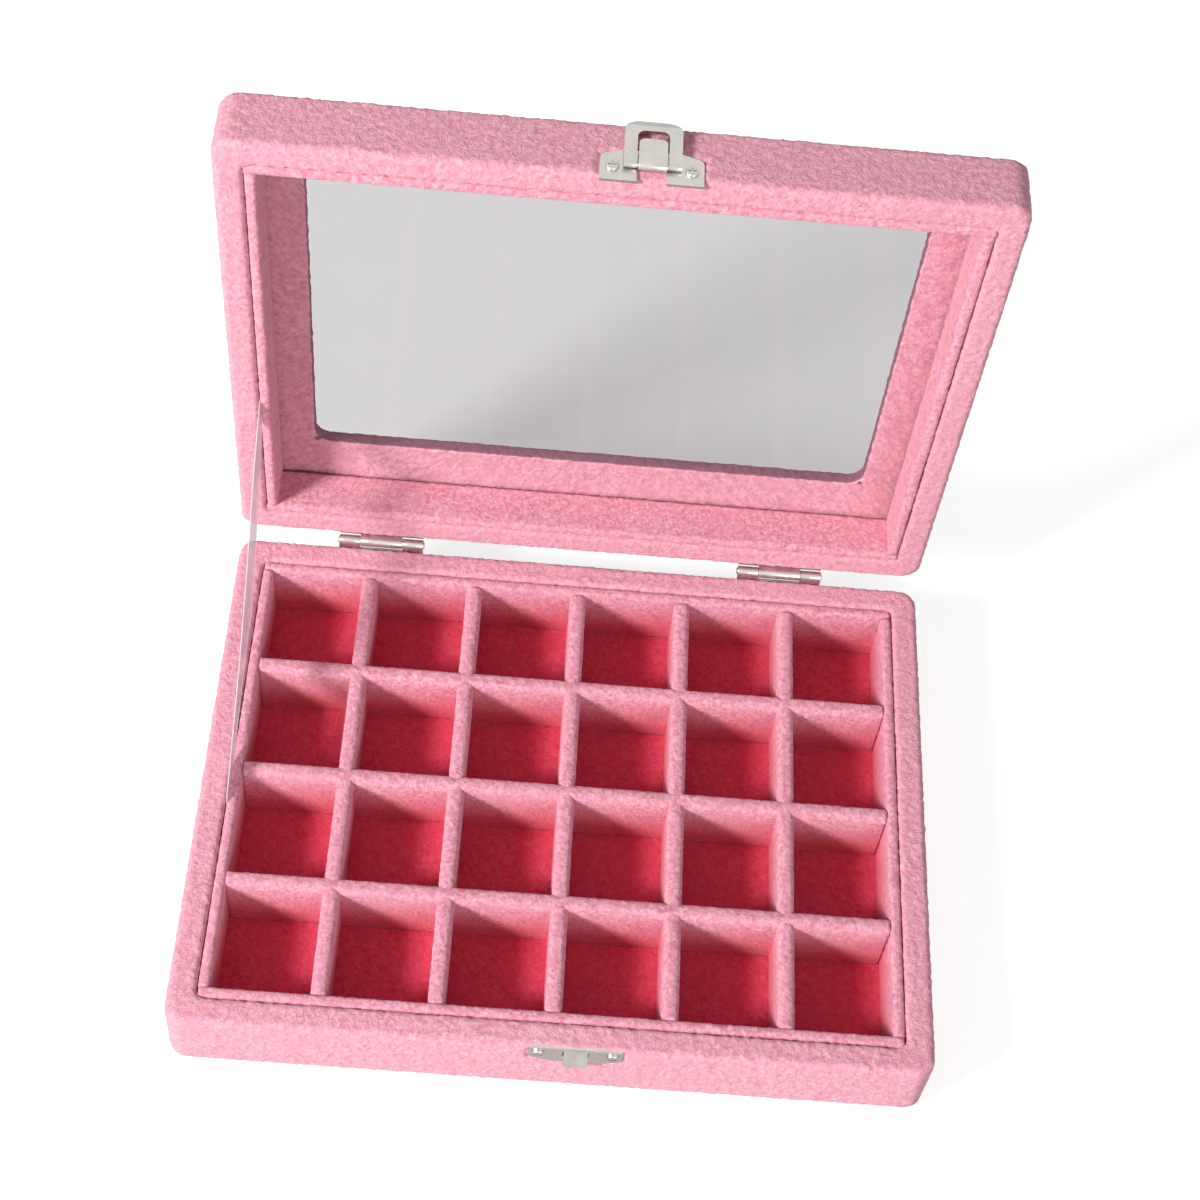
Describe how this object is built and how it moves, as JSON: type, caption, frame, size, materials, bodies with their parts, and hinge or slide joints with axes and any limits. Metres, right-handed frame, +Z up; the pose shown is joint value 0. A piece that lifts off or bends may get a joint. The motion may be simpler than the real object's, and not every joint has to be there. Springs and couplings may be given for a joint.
{
  "type": "jewelry display tray",
  "caption": "Hinged velvet jewellery display case with a divided tray, a glazed lid held open by a clear stay, and a swing-over latch.",
  "frame": {"origin": "middle of the underside of the base, on the surface it rests on", "axes": "+X to the right seen from the front, +Y to the back where the hinges are, +Z up"},
  "size_m": [0.2, 0.1775, 0.1821],
  "materials": {
    "velvet": "short-pile velvet",
    "board": "raw grey board",
    "underside_felt": "short-pile velvet paper",
    "glass": "clear",
    "clear_film": "clear film",
    "nickel": "bright nickel plate",
    "screw_steel": "nickel-plated screws",
    "pin_steel": "drawn wire"
  },
  "bodies": {
    "base": {"base_back_board": "board", "base_bottom_board": "board", "base_cover": "velvet", "base_front_board": "board", "base_left_board": "board", "base_right_board": "board", "base_underside_sheet": "underside_felt", "catch_plate": "nickel", "catch_screws": "screw_steel", "hinge_base_screws": "screw_steel", "hinge_left_base_leaf": "nickel", "hinge_left_pin": "pin_steel", "hinge_right_base_leaf": "nickel", "hinge_right_pin": "pin_steel", "lid_stay": "clear_film", "tray_back_wall": "velvet", "tray_cross_divider_1": "velvet", "tray_cross_divider_2": "velvet", "tray_cross_divider_3": "velvet", "tray_cross_divider_4": "velvet", "tray_cross_divider_5": "velvet", "tray_floor_pad": "velvet", "tray_front_wall": "velvet", "tray_left_wall": "velvet", "tray_long_divider_1": "velvet", "tray_long_divider_2": "velvet", "tray_long_divider_3": "velvet", "tray_right_wall": "velvet"},
    "lid": {"hinge_left_lid_leaf": "nickel", "hinge_lid_screws": "screw_steel", "hinge_right_lid_leaf": "nickel", "latch_plate": "nickel", "latch_screws": "screw_steel", "lid_back_board": "board", "lid_back_liner": "velvet", "lid_cover": "velvet", "lid_front_board": "board", "lid_front_liner": "velvet", "lid_left_board": "board", "lid_left_liner": "velvet", "lid_pane": "glass", "lid_right_board": "board", "lid_right_liner": "velvet", "lid_top_board": "board", "lid_window_facing": "velvet"},
    "latch_ring": {"latch_ring": "nickel"}
  },
  "joints": [
    {"name": "lid_hinge", "type": "hinge", "parent": "base", "child": "lid", "pos_m": [0, 0.07865, 0.0241], "axis": [1, 0, 0], "range_deg": [0, 90], "deforming": ["lid_stay"]},
    {"name": "latch_ring_pivot", "type": "hinge", "parent": "lid", "child": "latch_ring", "pos_m": [0.0064, 0.08285, 0.18055], "axis": [1, 0, 0], "range_deg": [0, 175]}
  ]
}
